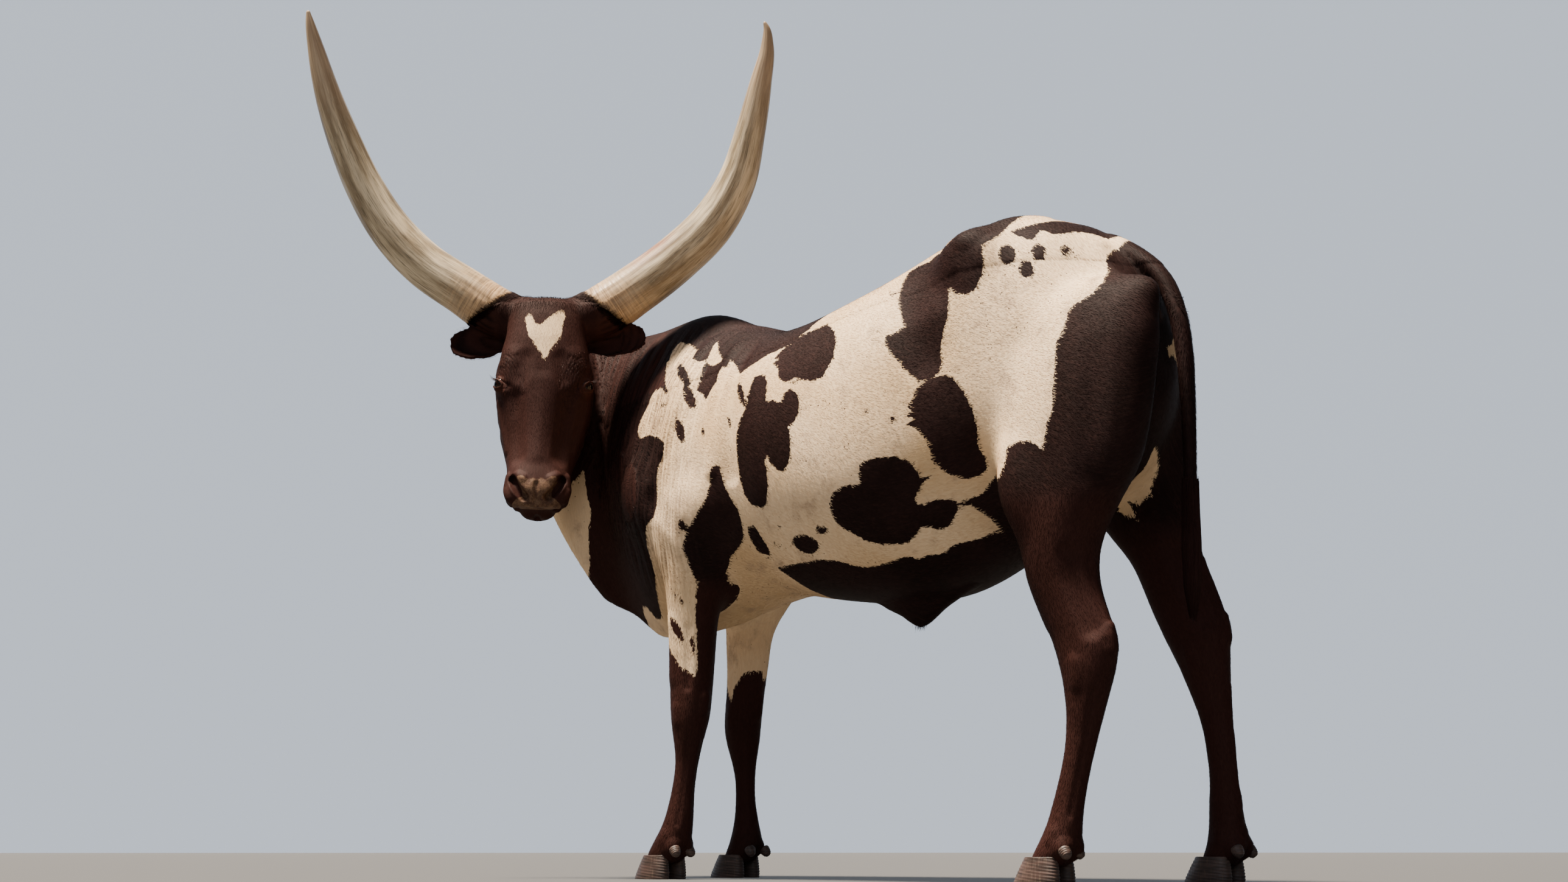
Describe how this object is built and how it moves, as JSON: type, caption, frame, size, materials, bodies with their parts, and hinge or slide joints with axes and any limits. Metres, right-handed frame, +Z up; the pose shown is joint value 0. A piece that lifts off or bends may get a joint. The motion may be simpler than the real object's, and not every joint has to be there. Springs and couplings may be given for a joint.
{
  "type": "ankole watusi cattle",
  "caption": "Life-size still model of a long-horned ankole watusi steer, piebald dark brown and cream, standing and looking back past its left flank.",
  "frame": {"origin": "on the floor, under the middle of the whole animal's box, horns and tail counted", "axes": "+Z up, the trunk's front end towards -Y, the animal's left side towards +X"},
  "size_m": [1.1563, 2.0739, 2.1628],
  "materials": {
    "coat": "short flat hair, dark brown patches on cream",
    "horn": "weathered horn with dark lengthwise streaks",
    "hoof": "dry ringed hoof horn",
    "eye": "wet dark eyeball"
  },
  "bodies": {
    "root": {"head": "coat", "neck": "coat", "trunk": "coat", "sheath": "coat", "ear_left": "coat", "ear_right": "coat", "tail_base": "coat", "tail_middle": "coat", "tail_switch": "coat", "forearm_left": "coat", "forearm_right": "coat", "fore_cannon_left": "coat", "fore_cannon_right": "coat", "thigh_left": "coat", "thigh_right": "coat", "hind_cannon_left": "coat", "hind_cannon_right": "coat", "horn_left": "horn", "horn_right": "horn", "eye_left": "eye", "eye_right": "eye", "inner_claw_fore_left": "hoof", "inner_dewclaw_fore_left": "hoof", "outer_claw_fore_left": "hoof", "outer_dewclaw_fore_left": "hoof", "inner_claw_fore_right": "hoof", "inner_dewclaw_fore_right": "hoof", "outer_claw_fore_right": "hoof", "outer_dewclaw_fore_right": "hoof", "inner_claw_hind_left": "hoof", "inner_dewclaw_hind_left": "hoof", "outer_claw_hind_left": "hoof", "outer_dewclaw_hind_left": "hoof", "inner_claw_hind_right": "hoof", "inner_dewclaw_hind_right": "hoof", "outer_claw_hind_right": "hoof", "outer_dewclaw_hind_right": "hoof"}
  },
  "joints": []
}
